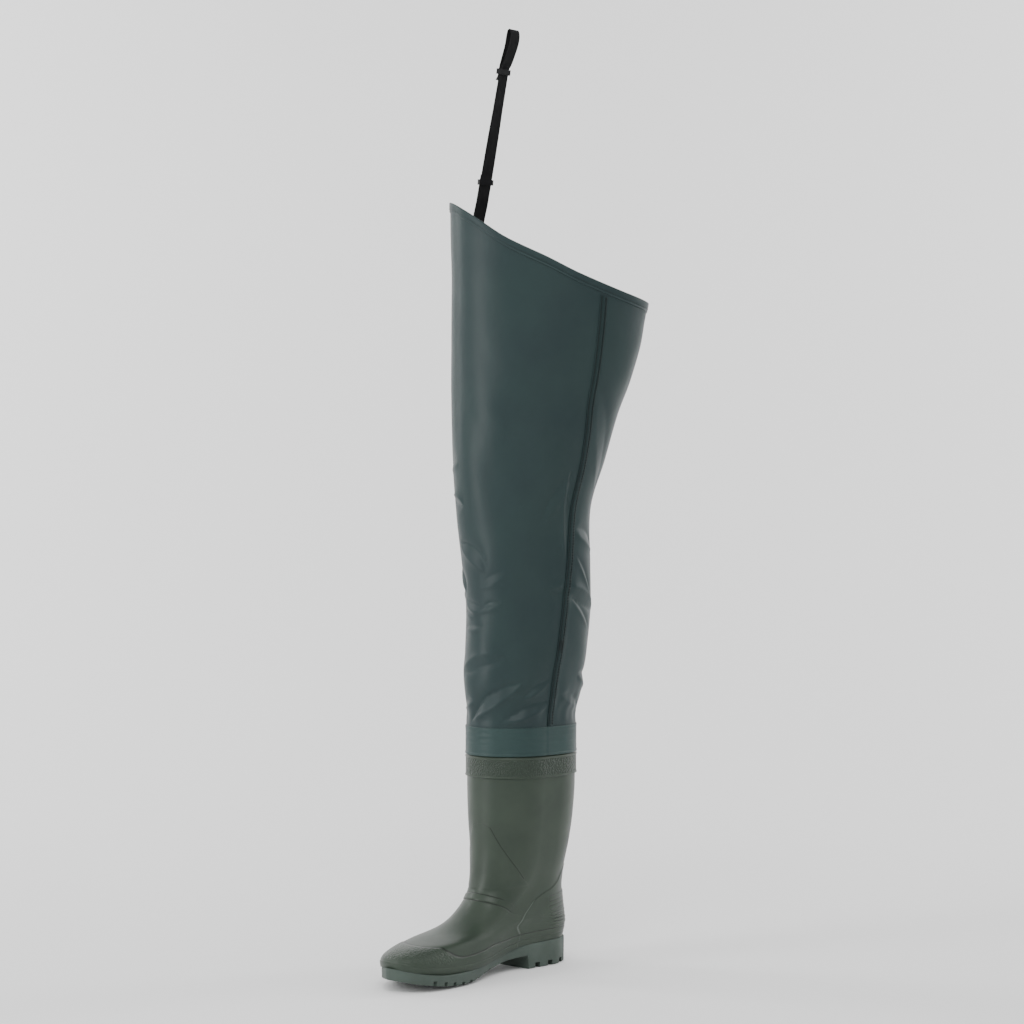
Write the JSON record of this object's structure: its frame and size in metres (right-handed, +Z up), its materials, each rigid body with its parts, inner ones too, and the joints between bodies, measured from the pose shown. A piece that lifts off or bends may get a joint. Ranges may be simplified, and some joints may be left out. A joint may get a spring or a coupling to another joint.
{
  "type": "hip wader",
  "caption": "Right hip wader: a moulded PVC boot with a lugged sole, a coated-cloth leg welded to its neck, and a webbing strap with a belt loop.",
  "frame": {"origin": "middle of the heel's second lug, on the underside", "axes": "+X towards the toe, +Y towards the inner side of the leg, +Z up"},
  "size_m": [0.3723, 0.2178, 1.2033],
  "materials": {
    "boot_pvc": "satin moulded PVC, finely grained",
    "sole_pvc": "matt moulded PVC",
    "insole_foam": "matt foam faced with cloth",
    "coated_cloth": "coated nylon with a soft sheen",
    "seam_tape": "welded coated tape with a soft sheen",
    "webbing": "matt woven elastic",
    "black_plastic": "satin moulded"
  },
  "bodies": {
    "root": {"outsole": "sole_pvc", "boot_upper": "boot_pvc", "insole": "insole_foam", "leg": "coated_cloth", "leg_cuff": "seam_tape", "top_hem": "coated_cloth", "inner_seam": "seam_tape", "outer_seam": "seam_tape", "strap": "webbing", "strap_tail": "webbing", "slider_lower": "black_plastic", "slider_upper": "black_plastic"}
  },
  "joints": []
}
